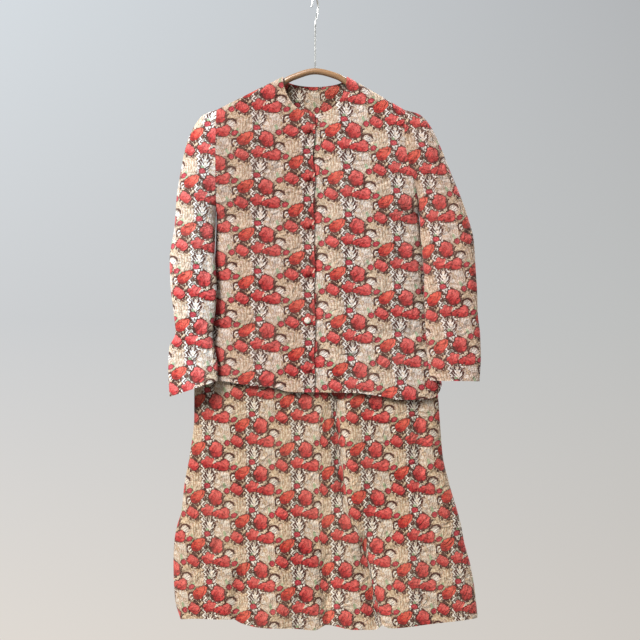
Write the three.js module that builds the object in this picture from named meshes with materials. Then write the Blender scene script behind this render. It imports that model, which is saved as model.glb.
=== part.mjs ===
// A sleeveless A-line dress under a long-sleeved, button-front jacket, hanging on a hanger.
// Millimetres, +Z up. The front faces -Y, and the origin is the inside top of the wire hook.
import * as THREE from 'three';

// Cloth
const WALL = 1.5;
const SEAM_GAP = 0.35;
const SIDE_ROUNDING = 3;

// Neck and shoulders, shared by both garments
const NECK_HALF = 69;
const NECK_TOP = -172;
const NECK_FRONT_DROP = 84;
const NECK_BACK_DROP = 20;
const SHOULDER_TIP = -244;
const JACKET_LEFT_TIP = -213;
const JACKET_RIGHT_TIP = 193.5;

// How far the dress lies inside the jacket at the shoulders and the neck
const LAYER_STEP = 2.8;
const JACKET_ROLL = 14;
const DRESS_ROLL = JACKET_ROLL - LAYER_STEP;

// Hanger and hook
const HANGER_RADIUS = 6.8;
const HANGER_DROP = 9.9;
const HANGER_LEFT = -168;
const HANGER_RIGHT = 150;
const HANGER_PEAK = -160;
const HANGER_STOPS = [HANGER_LEFT, -140, -105, -75, -48, 0, 48, 75, 100, 128, HANGER_RIGHT];
const WIRE_RADIUS = 2;
const HOOK_RADIUS = 18;
const HOOK_TURN = THREE.MathUtils.degToRad(70);
const HOOK_ARC_STEPS = 8;
const HOOK_NECK = [
  { out: 0, z: -90 },
  { out: 1, z: -58 },
  { out: 7, z: -42 },
  { out: 15, z: -30 },
];
const HOOK_TIP = { out: -22, z: -25 };

// Jacket closure
const OVERLAP = 32;
const UNDERLAP_STEP = 3.4;
const UNDERLAP_FADE = { from: 12, to: 60 };
const BUTTON_RADIUS = 7;
const BUTTON_HEIGHT = 4.5;
const BUTTON_EDGE = 1;
const BUTTON_ARC = 4;
const BUTTON_SIDES = 16;
const BUTTON_X = -16;
const BUTTON_TOP = -290;
const BUTTON_SPACING = 102.5;
const BUTTON_COUNT = 6;

// Colours of the print seen from afar, and of the carrier
const PRINT = { color: 0xc68c7a, roughness: 0.85, metalness: 0 };
const WOOD = { color: 0xb08d62, roughness: 0.5, metalness: 0 };
const WIRE = { color: 0xb4b4b0, roughness: 0.3, metalness: 1 };

// Dress: the two side edges and half its depth at each height
const DRESS_SECTIONS = [
  { z: -172, left: -199, right: 181, depth: 11.2 },
  { z: -247, left: -199, right: 181, depth: 13 },
  { z: -330, left: -186, right: 172, depth: 17 },
  { z: -480, left: -205, right: 214, depth: 21 },
  { z: -560, left: -205, right: 219, depth: 22 },
  { z: -655, left: -217, right: 229, depth: 22 },
  { z: -760, left: -240, right: 246, depth: 23 },
  { z: -853, left: -261, right: 265, depth: 24 },
  { z: -907, left: -261, right: 269, depth: 25 },
  { z: -993, left: -271, right: 276, depth: 27 },
  { z: -1053, left: -282, right: 290, depth: 28 },
  { z: -1114, left: -289, right: 308, depth: 29 },
  { z: -1144, left: -298, right: 316, depth: 30 },
  { z: -1178, left: -304, right: 322, depth: 31 },
  { z: -1230, left: -306, right: 336, depth: 32 },
  { z: -1268, left: -305, right: 343, depth: 33 },
  { z: -1307, left: -302, right: 348, depth: 34 },
  { z: -1346, left: -291, right: 352, depth: 35 },
];
const DRESS_UNDERARM = -480;
const DRESS_ARMHOLE_DEPTH = 13;

const DRESS_FRONT_HEM = [
  { x: -291, z: -1346 },
  { x: -252, z: -1342 },
  { x: -175, z: -1342 },
  { x: -160, z: -1350 },
  { x: -100, z: -1360 },
  { x: -54, z: -1360 },
  { x: 0, z: -1364 },
  { x: 25, z: -1353 },
  { x: 47, z: -1356 },
  { x: 81, z: -1363 },
  { x: 132, z: -1363 },
  { x: 143, z: -1354 },
  { x: 160, z: -1360 },
  { x: 244, z: -1352 },
  { x: 352, z: -1343 },
];
const DRESS_BACK_HEM = [
  { x: -291, z: -1346 },
  { x: -150, z: -1348 },
  { x: 0, z: -1354 },
  { x: 180, z: -1349 },
  { x: 352, z: -1343 },
];

// Folds run from one point to another; half is half the fold's width, deep is how far it sinks
const DRESS_FRONT_FOLDS = [
  { x0: 41, z0: -800, x1: 66, z1: -1107, half: 15, deep: 8 },
  { x0: 72, z0: -820, x1: 96, z1: -1150, half: 18, deep: -4 },
  { x0: 101, z0: -1150, x1: 143, z1: -1370, half: 15, deep: 9 },
  { x0: 221, z0: -860, x1: 226, z1: -1050, half: 14, deep: 6 },
  { x0: 226, z0: -1040, x1: 281, z1: -1090, half: 10, deep: 5 },
  { x0: -160, z0: -1220, x1: -166, z1: -1370, half: 16, deep: 7 },
  { x0: 22, z0: -1190, x1: 26, z1: -1370, half: 16, deep: 8 },
  { x0: -70, z0: -1100, x1: -80, z1: -1370, half: 34, deep: -6 },
  { x0: 190, z0: -1130, x1: 215, z1: -1370, half: 30, deep: -6 },
  { x0: -196, z0: -1174, x1: -243, z1: -1208, half: 11, deep: 4 },
];
const DRESS_BACK_FOLDS = [
  { x0: -60, z0: -820, x1: -84, z1: -1360, half: 26, deep: 7 },
  { x0: 96, z0: -900, x1: 122, z1: -1360, half: 26, deep: 8 },
  { x0: -190, z0: -1000, x1: -214, z1: -1360, half: 24, deep: 6 },
  { x0: 20, z0: -1120, x1: 22, z1: -1360, half: 26, deep: -6 },
];

// Jacket
const JACKET_SECTIONS = [
  { z: -172, left: -213, right: 193.5, depth: 14 },
  { z: -244, left: -213, right: 193.5, depth: 20 },
  { z: -301, left: -214, right: 192.5, depth: 25 },
  { z: -353, left: -214, right: 200, depth: 27 },
  { z: -398, left: -214, right: 212, depth: 28 },
  { z: -432, left: -213.5, right: 220, depth: 28.5 },
  { z: -471, left: -213, right: 224, depth: 29 },
  { z: -560, left: -216, right: 233, depth: 30 },
  { z: -655, left: -226, right: 240, depth: 31 },
  { z: -760, left: -249, right: 256, depth: 33 },
  { z: -838, left: -267, right: 274, depth: 35 },
  { z: -871, left: -270, right: 277, depth: 36 },
];
const JACKET_UNDERARM = -471;
const JACKET_ARMHOLE_DEPTH = 24;
const JACKET_SIDE_HEM = -838;

const JACKET_FRONT_HEM = [
  { x: -267, z: -838 },
  { x: -206, z: -830 },
  { x: -150, z: -838 },
  { x: -87, z: -844 },
  { x: -52, z: -853 },
  { x: 82, z: -855 },
  { x: 138, z: -862 },
  { x: 180, z: -870 },
  { x: 211, z: -870 },
  { x: 250, z: -867 },
  { x: 266, z: -855 },
  { x: 274, z: -838 },
];
const JACKET_BACK_HEM = [
  { x: -267, z: -838 },
  { x: -120, z: -846 },
  { x: 20, z: -849 },
  { x: 150, z: -846 },
  { x: 274, z: -838 },
];
const JACKET_FRONT_FOLDS = [
  { x0: -206, z0: -300, x1: -168, z1: -392, half: 12, deep: 3 },
  { x0: -208, z0: -492, x1: -140, z1: -628, half: 14, deep: 3 },
  { x0: -205, z0: -713, x1: -120, z1: -716, half: 12, deep: 3 },
  { x0: 130, z0: -722, x1: 236, z1: -735, half: 12, deep: 3 },
  { x0: 40, z0: -480, x1: 52, z1: -820, half: 30, deep: -3 },
];
const JACKET_BACK_FOLDS = [
  { x0: -90, z0: -480, x1: -120, z1: -850, half: 26, deep: 3 },
  { x0: 96, z0: -470, x1: 130, z1: -850, half: 26, deep: 3 },
];

// Sleeves: the outer and inner edge of each ring, how far forward it hangs and half its depth
const RIGHT_SLEEVE_RINGS = [
  { outX: -240, outZ: -254, inX: -216.5, inZ: -476, forward: 1, deep: 25 },
  { outX: -263, outZ: -284, inX: -217, inZ: -480, forward: 3, deep: 25 },
  { outX: -279, outZ: -324, inX: -217, inZ: -488, forward: 5, deep: 24 },
  { outX: -290, outZ: -381, inX: -217, inZ: -502, forward: 8, deep: 22 },
  { outX: -298, outZ: -432, inX: -217, inZ: -523, forward: 11, deep: 21 },
  { outX: -302, outZ: -495, inX: -217, inZ: -556, forward: 15, deep: 19 },
  { outX: -312, outZ: -566, inX: -214, inZ: -596, forward: 21, deep: 17 },
  { outX: -310, outZ: -624, inX: -212, inZ: -639, forward: 26, deep: 15 },
  { outX: -303, outZ: -682, inX: -215, inZ: -682, forward: 28, deep: 15 },
  { outX: -299, outZ: -727, inX: -221, inZ: -727, forward: 30, deep: 14 },
  { outX: -312, outZ: -759, inX: -215, inZ: -763, forward: 32, deep: 14 },
  { outX: -314, outZ: -802, inX: -209, inZ: -802, forward: 34, deep: 13 },
  { outX: -311, outZ: -863, inX: -209, inZ: -829, forward: 36, deep: 14 },
];
const LEFT_SLEEVE_RINGS = [
  { outX: 226, outZ: -254, inX: 227.5, inZ: -476, forward: 1, deep: 25 },
  { outX: 250, outZ: -281, inX: 228, inZ: -480, forward: 3, deep: 25 },
  { outX: 271, outZ: -325, inX: 228.5, inZ: -487, forward: 5, deep: 24 },
  { outX: 290, outZ: -374, inX: 229, inZ: -498, forward: 8, deep: 22 },
  { outX: 312, outZ: -428, inX: 230, inZ: -515, forward: 10, deep: 21 },
  { outX: 329, outZ: -477, inX: 233, inZ: -540, forward: 13, deep: 20 },
  { outX: 342, outZ: -529, inX: 236, inZ: -574, forward: 16, deep: 19 },
  { outX: 345, outZ: -583, inX: 238, inZ: -613, forward: 20, deep: 18 },
  { outX: 348, outZ: -636, inX: 237, inZ: -656, forward: 24, deep: 17 },
  { outX: 349, outZ: -682, inX: 237, inZ: -695, forward: 27, deep: 16 },
  { outX: 354, outZ: -731, inX: 239, inZ: -738, forward: 30, deep: 15 },
  { outX: 355, outZ: -776, inX: 242, inZ: -776, forward: 33, deep: 14 },
  { outX: 352, outZ: -830, inX: 247, inZ: -828, forward: 35, deep: 14 },
];

// Grid cells of each wall; the neck's columns are angles round its curve, in degrees
const ROLL_ROWS = 3;
const DRESS_ARMHOLE_ROWS = 5;
const DRESS_LOWER_ROWS = 14;
const JACKET_ARMHOLE_ROWS = 7;
const JACKET_LOWER_ROWS = 9;
const DRESS_FRONT_SHOULDER = 8;
const DRESS_BACK_SHOULDER = 5;
const JACKET_SHOULDER = 5;
const DRESS_FRONT_NECK = [0, 3.5, 9.6, 20, 32, 45, 58, 70, 80, 90];
const JACKET_FRONT_NECK = [0, 4, 10.2, 25, 42, 60, 76, 90];
const BACK_NECK = [0, 4, 11, 22, 38, 62, 90];
const SPREAD_BY = 0.35;

const clamp = THREE.MathUtils.clamp;
const lerp = THREE.MathUtils.lerp;
const cosineStep = (t) => (1 - Math.cos(Math.PI * t)) / 2;

// A value from a table, on straight lines between its rows
function lookUp(table, input, output, value) {
  const falling = table[0][input] > table[1][input];
  const past = (row) => (falling ? row[input] <= value : row[input] >= value);
  const next = clamp(table.findIndex(past), 1, table.length - 1);
  const found = table.some(past) ? next : table.length - 1;
  const a = table[found - 1];
  const b = table[found];
  const t = clamp((value - a[input]) / (b[input] - a[input]), 0, 1);
  return lerp(a[output], b[output], t);
}

// How far the folds sink the cloth at a place
function sink(folds, x, z) {
  let total = 0;
  for (const fold of folds) {
    const along = new THREE.Vector2(fold.x1 - fold.x0, fold.z1 - fold.z0);
    const length = along.length();
    const t = ((x - fold.x0) * along.x + (z - fold.z0) * along.y) / length ** 2;
    const off = ((x - fold.x0) * along.y - (z - fold.z0) * along.x) / length;
    const fade = THREE.MathUtils.smoothstep(Math.min(t, 1 - t), -0.02, 0.18);
    total += fold.deep * fade * Math.exp(-((off / fold.half) ** 2));
  }
  return total;
}

// One garment body: its edges, its depth and the place of any point on its front or back
function makeBody(spec) {
  const left = (z) => lookUp(spec.sections, 'z', 'left', z);
  const right = (z) => lookUp(spec.sections, 'z', 'right', z);
  const depth = (z) => lookUp(spec.sections, 'z', 'depth', z);

  const shoulder = (x) => {
    const tip = x < 0 ? spec.leftTip : spec.rightTip;
    const t = clamp((Math.abs(x) - NECK_HALF) / (Math.abs(tip) - NECK_HALF), 0, 1);
    return lerp(NECK_TOP, SHOULDER_TIP, t) - spec.lower;
  };

  const top = (x, isFront) => {
    if (Math.abs(x) >= NECK_HALF) {
      return shoulder(x);
    }
    const drop = isFront ? NECK_FRONT_DROP : NECK_BACK_DROP;
    return NECK_TOP - spec.lower - drop * Math.sqrt(1 - (x / NECK_HALF) ** 2);
  };

  const armhole = (z) => {
    const tip = SHOULDER_TIP - spec.lower;
    const t = clamp((tip - z) / (tip - spec.underarm), 0, 1);
    return spec.armholeDepth * 2 * Math.sqrt(t * (1 - t));
  };

  const place = (x, z, isFront, folds, inset = 0) => {
    const middle = (left(z) + right(z)) / 2;
    const half = (right(z) - left(z)) / 2;
    const side = clamp(Math.abs(x - middle) / half, 0, 1);
    const round = Math.sqrt(1 - side ** SIDE_ROUNDING);
    const below = clamp((shoulder(x) - z) / spec.roll, 0, 1);
    const roll = Math.sqrt(1 - (1 - below) ** 2);
    const edge = Math.min(armhole(z), depth(z));
    const flat = edge + (depth(z) - edge) * round;
    const out = roll * flat - round * (sink(folds, x, z) + inset) + SEAM_GAP / 2;
    return new THREE.Vector3(x, isFront ? -out : out, z);
  };

  return { ...spec, left, right, top, place };
}

// Row fractions of a body's height: over the hanger, down the armhole, then even to the hem
function setRows(body, armholeRows, lowerRows) {
  const tip = SHOULDER_TIP - body.lower;
  const height = tip - body.sideHem;
  const roll = body.roll / height;
  const underarm = (tip - body.underarm) / height;
  const rows = [];
  for (let j = 0; j < ROLL_ROWS; j += 1) {
    rows.push(roll * (1 - Math.cos((Math.PI / 2) * (j / ROLL_ROWS))));
  }
  for (let j = 0; j < armholeRows; j += 1) {
    rows.push(lerp(roll, underarm, cosineStep(j / armholeRows)));
  }
  for (let j = 0; j <= lowerRows; j += 1) {
    rows.push(lerp(underarm, 1, j / lowerRows));
  }
  body.rows = rows;
  body.underarmRow = ROLL_ROWS + armholeRows;
}

// A closed wall around a grid of middle points: grid[column][row], with columns from left to right
// as seen from outside. keepOff(column, row) lists the directions that a seam keeps the wall out of.
function clothWall(name, grid, { closed = false, keepOff = () => [] }) {
  const columns = grid.length;
  const rows = grid[0].length;
  const at = (i, j) => (closed ? grid[(i + columns) % columns] : grid[clamp(i, 0, columns - 1)])[j];
  const positions = [];
  const outer = (i, j) => 2 * ((i % columns) * rows + j);
  const inner = (i, j) => outer(i, j) + 1;

  for (let i = 0; i < columns; i += 1) {
    for (let j = 0; j < rows; j += 1) {
      const across = at(i + 1, j).clone().sub(at(i - 1, j));
      const down = at(i, Math.min(j + 1, rows - 1)).clone().sub(at(i, Math.max(j - 1, 0)));
      const out = down.cross(across).normalize();
      for (const direction of keepOff(i, j)) {
        out.addScaledVector(direction, -out.dot(direction));
      }
      out.normalize();
      const middle = grid[i][j];
      positions.push(...middle.clone().addScaledVector(out, WALL / 2).toArray());
      positions.push(...middle.clone().addScaledVector(out, -WALL / 2).toArray());
    }
  }

  const faces = [];
  const quad = (a, b, c, d) => faces.push(a, b, c, a, c, d);
  const cells = closed ? columns : columns - 1;
  for (let i = 0; i < cells; i += 1) {
    for (let j = 0; j < rows - 1; j += 1) {
      quad(outer(i, j), outer(i, j + 1), outer(i + 1, j + 1), outer(i + 1, j));
      quad(inner(i, j), inner(i + 1, j), inner(i + 1, j + 1), inner(i, j + 1));
    }
    quad(outer(i, 0), outer(i + 1, 0), inner(i + 1, 0), inner(i, 0));
    quad(outer(i + 1, rows - 1), outer(i, rows - 1), inner(i, rows - 1), inner(i + 1, rows - 1));
  }
  if (!closed) {
    const last = columns - 1;
    for (let j = 0; j < rows - 1; j += 1) {
      quad(outer(0, j + 1), outer(0, j), inner(0, j), inner(0, j + 1));
      quad(outer(last, j), outer(last, j + 1), inner(last, j + 1), inner(last, j));
    }
  }

  const geometry = new THREE.BufferGeometry();
  geometry.setAttribute('position', new THREE.Float32BufferAttribute(positions, 3));
  geometry.setIndex(faces);
  geometry.computeVertexNormals();
  return namedMesh(name, geometry, PRINT);
}

function namedMesh(name, geometry, material) {
  const mesh = new THREE.Mesh(geometry, new THREE.MeshStandardMaterial(material));
  mesh.name = name;
  return mesh;
}

// Places along a shoulder and round the neck to the middle, from the tip inwards
function shoulderStops(tip, cells, neckAngles) {
  const side = Math.sign(tip);
  const stops = [];
  for (let i = 0; i < cells; i += 1) {
    stops.push(lerp(tip, side * NECK_HALF, i / cells));
  }
  const neck = neckAngles.map((degrees) => (
    side * NECK_HALF * Math.cos(THREE.MathUtils.degToRad(degrees))
  ));
  return [...stops, ...neck];
}

// Both halves of a shoulder line, joined at the middle
function wholeStops(body, cells, neckAngles) {
  const left = shoulderStops(body.leftTip, cells, neckAngles);
  const right = shoulderStops(body.rightTip, cells, neckAngles).slice(0, -1);
  return [...left, ...right.reverse()];
}

// One panel of a body through its places along the top, between two upright edges, start and end;
// ease spreads its columns at the hem
function panelGrid(body, spec) {
  const { isFront, hem, folds, stops, ease, inset = () => 0 } = spec;
  const { start = body.left, end = body.right } = spec;
  const last = stops.length - 1;
  const grid = stops.map((stop, i) => {
    const topShare = (stop - stops[0]) / (stops[last] - stops[0]);
    const hemShare = ease(i / last);
    const topZ = body.top(stop, isFront);
    const hemX = lerp(start(body.sideHem), end(body.sideHem), hemShare);
    const hemZ = lookUp(hem, 'x', 'z', hemX);
    return body.rows.map((row) => {
      const z = lerp(topZ, hemZ, row);
      const share = lerp(topShare, hemShare, THREE.MathUtils.smoothstep(row, 0, SPREAD_BY));
      const x = lerp(start(z), end(z), share);
      return body.place(x, z, isFront, folds, inset(x));
    });
  });
  return isFront ? grid : grid.reverse();
}

const X = new THREE.Vector3(1, 0, 0);
const Y = new THREE.Vector3(0, 1, 0);

// The directions that a panel's seams keep its wall out of, by column and row
function seamRule(body, lastColumn, { firstIsSide, lastIsSide, joinsSleeve }) {
  return (i, j) => {
    const onSide = (i === 0 && firstIsSide) || (i === lastColumn && lastIsSide);
    const off = [];
    if (j === 0 || (onSide && j >= body.underarmRow)) {
      off.push(Y);
    }
    if (onSide && joinsSleeve && j < body.underarmRow) {
      off.push(X);
    }
    return off;
  };
}

const dress = makeBody({
  sections: DRESS_SECTIONS,
  leftTip: DRESS_SECTIONS[0].left,
  rightTip: DRESS_SECTIONS[0].right,
  lower: LAYER_STEP,
  roll: DRESS_ROLL,
  underarm: DRESS_UNDERARM,
  armholeDepth: DRESS_ARMHOLE_DEPTH,
  sideHem: DRESS_FRONT_HEM[0].z,
});
const jacket = makeBody({
  sections: JACKET_SECTIONS,
  leftTip: JACKET_LEFT_TIP,
  rightTip: JACKET_RIGHT_TIP,
  lower: 0,
  roll: JACKET_ROLL,
  underarm: JACKET_UNDERARM,
  armholeDepth: JACKET_ARMHOLE_DEPTH,
  sideHem: JACKET_SIDE_HEM,
});
setRows(dress, DRESS_ARMHOLE_ROWS, DRESS_LOWER_ROWS);
setRows(jacket, JACKET_ARMHOLE_ROWS, JACKET_LOWER_ROWS);

const crowdEnds = (t) => lerp(t, cosineStep(t), 0.6);
const crowdStart = (t) => t ** 1.5;
const crowdEnd = (t) => 1 - (1 - t) ** 1.5;

function wholePanel(name, body, isFront, hem, folds, stops, joinsSleeve) {
  const grid = panelGrid(body, { isFront, hem, folds, stops, ease: crowdEnds });
  const sides = { firstIsSide: true, lastIsSide: true, joinsSleeve };
  return clothWall(name, grid, { keepOff: seamRule(body, stops.length - 1, sides) });
}

// The front that laps over: from its side to the edge, which hangs near the middle line
function jacketFrontRight() {
  const stops = shoulderStops(JACKET_LEFT_TIP, JACKET_SHOULDER, JACKET_FRONT_NECK);
  const spec = { isFront: true, hem: JACKET_FRONT_HEM, folds: JACKET_FRONT_FOLDS };
  const grid = panelGrid(jacket, { ...spec, stops, ease: crowdStart, end: () => 0 });
  const sides = { firstIsSide: true, lastIsSide: false, joinsSleeve: true };
  const keepOff = seamRule(jacket, stops.length - 1, sides);
  return { mesh: clothWall('jacket_front_right', grid, { keepOff }), grid };
}

// The front that runs on under the other one
function jacketFrontLeft() {
  const stops = [-OVERLAP, -OVERLAP / 2];
  stops.push(...shoulderStops(JACKET_RIGHT_TIP, JACKET_SHOULDER, JACKET_FRONT_NECK).reverse());
  const { from, to } = UNDERLAP_FADE;
  const inset = (x) => UNDERLAP_STEP * (1 - THREE.MathUtils.smoothstep(x, from, to));
  const spec = { isFront: true, hem: JACKET_FRONT_HEM, folds: JACKET_FRONT_FOLDS, inset };
  const grid = panelGrid(jacket, { ...spec, stops, ease: crowdEnd, start: () => -OVERLAP });
  const sides = { firstIsSide: false, lastIsSide: true, joinsSleeve: true };
  return clothWall('jacket_front_left', grid, { keepOff: seamRule(jacket, stops.length - 1, sides) });
}

// A sleeve: the armhole's own points first, then the table's rings, each flat at its two edges
function sleeve(name, rings, isViewersLeft) {
  const sideways = isViewersLeft ? -1 : 1;
  const edge = isViewersLeft ? jacket.left : jacket.right;
  const half = jacket.underarmRow;
  const grid = [];
  for (let i = 0; i < 2 * half; i += 1) {
    const isFront = i <= half;
    const share = jacket.rows[isFront ? i : 2 * half - i] / jacket.rows[half];
    const around = 2 * Math.sqrt(share * (1 - share));
    const z = lerp(SHOULDER_TIP, JACKET_UNDERARM, share);
    const start = jacket.place(edge(z), z, isFront, []);
    start.x += sideways * (SEAM_GAP + WALL * share ** 8);
    if (i % half === 0) {
      start.y = 0;
    }
    const column = rings.map((ring) => new THREE.Vector3(
      lerp(ring.outX, ring.inX, share),
      -ring.forward - (isFront ? 1 : -1) * ring.deep * around,
      lerp(ring.outZ, ring.inZ, share),
    ));
    grid.push([start, ...column]);
  }
  const keepOff = (i, j) => (j === 0 ? [X] : []);
  return clothWall(name, isViewersLeft ? grid : grid.reverse(), { closed: true, keepOff });
}

// The place between two neighbours in a row of points where a coordinate reaches a value
function crossing(points, key, value) {
  const falling = points[0][key] > points[1][key];
  const past = (point) => (falling ? point[key] <= value : point[key] >= value);
  const next = clamp(points.findIndex(past), 1, points.length - 1);
  const [a, b] = [points[next - 1], points[next]];
  return a.clone().lerp(b, (value - a[key]) / (b[key] - a[key]));
}

// The foremost cloth behind a button
function frontmost(grid, z) {
  const reach = [-BUTTON_RADIUS, 0, BUTTON_RADIUS];
  const depths = reach.flatMap((up) => {
    const row = grid.map((column) => crossing(column, 'z', z + up));
    return reach.map((along) => crossing(row, 'x', BUTTON_X + along).y);
  });
  return Math.min(...depths);
}

// A covered button: a flat back and a domed face, turned to the front
function button(index, z, grid) {
  const profile = [new THREE.Vector2(0, 0), new THREE.Vector2(BUTTON_RADIUS - BUTTON_EDGE, 0)];
  for (let i = 0; i <= BUTTON_ARC; i += 1) {
    const angle = (Math.PI / 2) * (i / BUTTON_ARC);
    const height = BUTTON_EDGE + (BUTTON_HEIGHT - BUTTON_EDGE) * Math.sin(angle);
    profile.push(new THREE.Vector2(i === BUTTON_ARC ? 0 : BUTTON_RADIUS * Math.cos(angle), height));
  }
  const mesh = namedMesh(`button_${index + 1}`, new THREE.LatheGeometry(profile, BUTTON_SIDES), PRINT);
  mesh.rotation.x = Math.PI;
  mesh.rotation.order = 'ZYX';
  mesh.position.set(BUTTON_X, frontmost(grid, z) - WALL / 2 - SEAM_GAP, z);
  return mesh;
}

// A round bar along a path
function bar(name, points, radius, { sides, steps, material }) {
  const section = new THREE.Shape(
    Array.from({ length: sides }, (_, i) => {
      const angle = (2 * Math.PI * i) / sides;
      return new THREE.Vector2(radius * Math.cos(angle), radius * Math.sin(angle));
    }),
  );
  const extrudePath = new THREE.CatmullRomCurve3(points);
  const geometry = new THREE.ExtrudeGeometry(section, { steps, extrudePath, bevelEnabled: false });
  return namedMesh(name, geometry, material);
}

// The bar that fills the dress's shoulders and bows up to the hook between them
function hangerArm() {
  const axis = (x) => {
    const tip = x < 0 ? dress.leftTip : dress.rightTip;
    const t = (Math.abs(x) - NECK_HALF) / (Math.abs(tip) - NECK_HALF);
    return lerp(NECK_TOP, SHOULDER_TIP, t) - LAYER_STEP - HANGER_DROP;
  };
  const points = HANGER_STOPS.map((x) => new THREE.Vector3(x, 0, x === 0 ? HANGER_PEAK : axis(x)));
  return bar('hanger_arm', points, HANGER_RADIUS, { sides: 14, steps: 30, material: WOOD });
}

// The wire: up from the hanger, out to one side, over the top and down to its free tip
function hook() {
  const centre = WIRE_RADIUS - HOOK_RADIUS;
  const bends = [{ out: 0, z: HANGER_PEAK + HANGER_RADIUS + SEAM_GAP }, ...HOOK_NECK];
  for (let i = 0; i <= HOOK_ARC_STEPS; i += 1) {
    const angle = Math.PI * (i / HOOK_ARC_STEPS);
    const z = centre + HOOK_RADIUS * Math.sin(angle);
    bends.push({ out: HOOK_RADIUS * Math.cos(angle), z });
  }
  bends.push(HOOK_TIP);
  const points = bends.map(({ out, z }) => (
    new THREE.Vector3(out * Math.cos(HOOK_TURN), out * Math.sin(HOOK_TURN), z)
  ));
  return bar('hook', points, WIRE_RADIUS, { sides: 8, steps: 44, material: WIRE });
}

const garment = new THREE.Group();
const dressFrontStops = wholeStops(dress, DRESS_FRONT_SHOULDER, DRESS_FRONT_NECK);
const dressBackStops = wholeStops(dress, DRESS_BACK_SHOULDER, BACK_NECK);
const jacketBackStops = wholeStops(jacket, JACKET_SHOULDER, BACK_NECK);
const rightFront = jacketFrontRight();
garment.add(
  wholePanel('dress_front', dress, true, DRESS_FRONT_HEM, DRESS_FRONT_FOLDS, dressFrontStops, false),
  wholePanel('dress_back', dress, false, DRESS_BACK_HEM, DRESS_BACK_FOLDS, dressBackStops, false),
  rightFront.mesh,
  jacketFrontLeft(),
  wholePanel('jacket_back', jacket, false, JACKET_BACK_HEM, JACKET_BACK_FOLDS, jacketBackStops, true),
  sleeve('sleeve_right', RIGHT_SLEEVE_RINGS, true),
  sleeve('sleeve_left', LEFT_SLEEVE_RINGS, false),
  hangerArm(),
  hook(),
);
for (let i = 0; i < BUTTON_COUNT; i += 1) {
  garment.add(button(i, BUTTON_TOP - i * BUTTON_SPACING, rightFront.grid));
}

export default garment;
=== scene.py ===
import math
import bpy
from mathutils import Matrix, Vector
import numpy as np


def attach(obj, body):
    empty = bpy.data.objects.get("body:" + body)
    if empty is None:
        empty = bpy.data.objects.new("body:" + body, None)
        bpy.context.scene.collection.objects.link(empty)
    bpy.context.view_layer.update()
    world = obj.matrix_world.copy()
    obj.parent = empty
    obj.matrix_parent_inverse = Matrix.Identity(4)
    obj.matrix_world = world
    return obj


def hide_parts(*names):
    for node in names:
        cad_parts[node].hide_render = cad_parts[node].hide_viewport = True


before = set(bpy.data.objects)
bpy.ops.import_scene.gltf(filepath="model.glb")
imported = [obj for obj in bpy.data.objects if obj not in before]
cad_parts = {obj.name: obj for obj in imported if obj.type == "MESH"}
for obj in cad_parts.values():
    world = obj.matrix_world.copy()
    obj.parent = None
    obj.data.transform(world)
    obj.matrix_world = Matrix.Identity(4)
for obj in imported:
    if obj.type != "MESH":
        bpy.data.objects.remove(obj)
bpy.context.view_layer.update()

# Sizes of the garments, in millimetres; the front faces -Y and the origin is the hook's inside top
MM = 0.001
WALL = 1.5
SEAM_GAP = 0.35
SIDE_ROUNDING = 3
NECK_HALF = 69
NECK_TOP = -172
NECK_FRONT_DROP = 84
NECK_BACK_DROP = 20
SHOULDER_TIP = -244
LAYER_STEP = 2.8
JACKET_ROLL = 14
SPREAD_BY = 0.35
OVERLAP = 32
UNDERLAP_STEP = 3.4
UNDERLAP_FADE = (12, 60)
BUTTON_RADIUS = 7
BUTTON_HEIGHT = 4.5
BUTTON_X = -16
BUTTON_TOP = -290
BUTTON_SPACING = 102.5
BUTTON_COUNT = 6
COVER_SIDES = 48
COVER_RINGS = 14
RIM_SHARE = 0.3
RIM_HEIGHT = 1.6
BACK_SHARE = 0.86
DRESS_UNDERARM = -480
DRESS_ARMHOLE_DEPTH = 13
JACKET_UNDERARM = -471
JACKET_ARMHOLE_DEPTH = 24
JACKET_SIDE_HEM = -838
HANGER_RADIUS = 6.8
HANGER_DROP = 9.9
HANGER_PEAK = -160
HANGER_PLACES = (-168, -140, -105, -75, -48, 0, 48, 75, 100, 128, 150)
WIRE_RADIUS = 2.0
HOOK_RADIUS = 18
HOOK_ARC_STEPS = 16
HOOK_TURN = math.radians(70)
HOOK_NECK = [(0, -152.85), (0, -90), (1, -58), (7, -42), (15, -30)]
HOOK_TIP = (-22, -25)

# How finely the cloth is cut up, and the angle in degrees past which an edge is sharp
ROLL_ROWS = 7
MORE_ARM_ROWS = 6
UNDERLAP_COLUMNS = 6
CROWDING = 1.25
SHARP_ANGLE = 50

# z, left edge, right edge, half the depth
DRESS_SECTIONS = [
    (-172, -199, 181, 11.2), (-247, -199, 181, 13), (-330, -186, 172, 17), (-480, -205, 214, 21),
    (-560, -205, 219, 22), (-655, -217, 229, 22), (-760, -240, 246, 23), (-853, -261, 265, 24),
    (-907, -261, 269, 25), (-993, -271, 276, 27), (-1053, -282, 290, 28), (-1114, -289, 308, 29),
    (-1144, -298, 316, 30), (-1178, -304, 322, 31), (-1230, -306, 336, 32), (-1268, -305, 343, 33),
    (-1307, -302, 348, 34), (-1346, -291, 352, 35),
]
JACKET_SECTIONS = [
    (-172, -213, 193.5, 14), (-244, -213, 193.5, 20), (-301, -214, 192.5, 25), (-353, -214, 200, 27),
    (-398, -214, 212, 28), (-432, -213.5, 220, 28.5), (-471, -213, 224, 29), (-560, -216, 233, 30),
    (-655, -226, 240, 31), (-760, -249, 256, 33), (-838, -267, 274, 35), (-871, -270, 277, 36),
]
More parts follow.
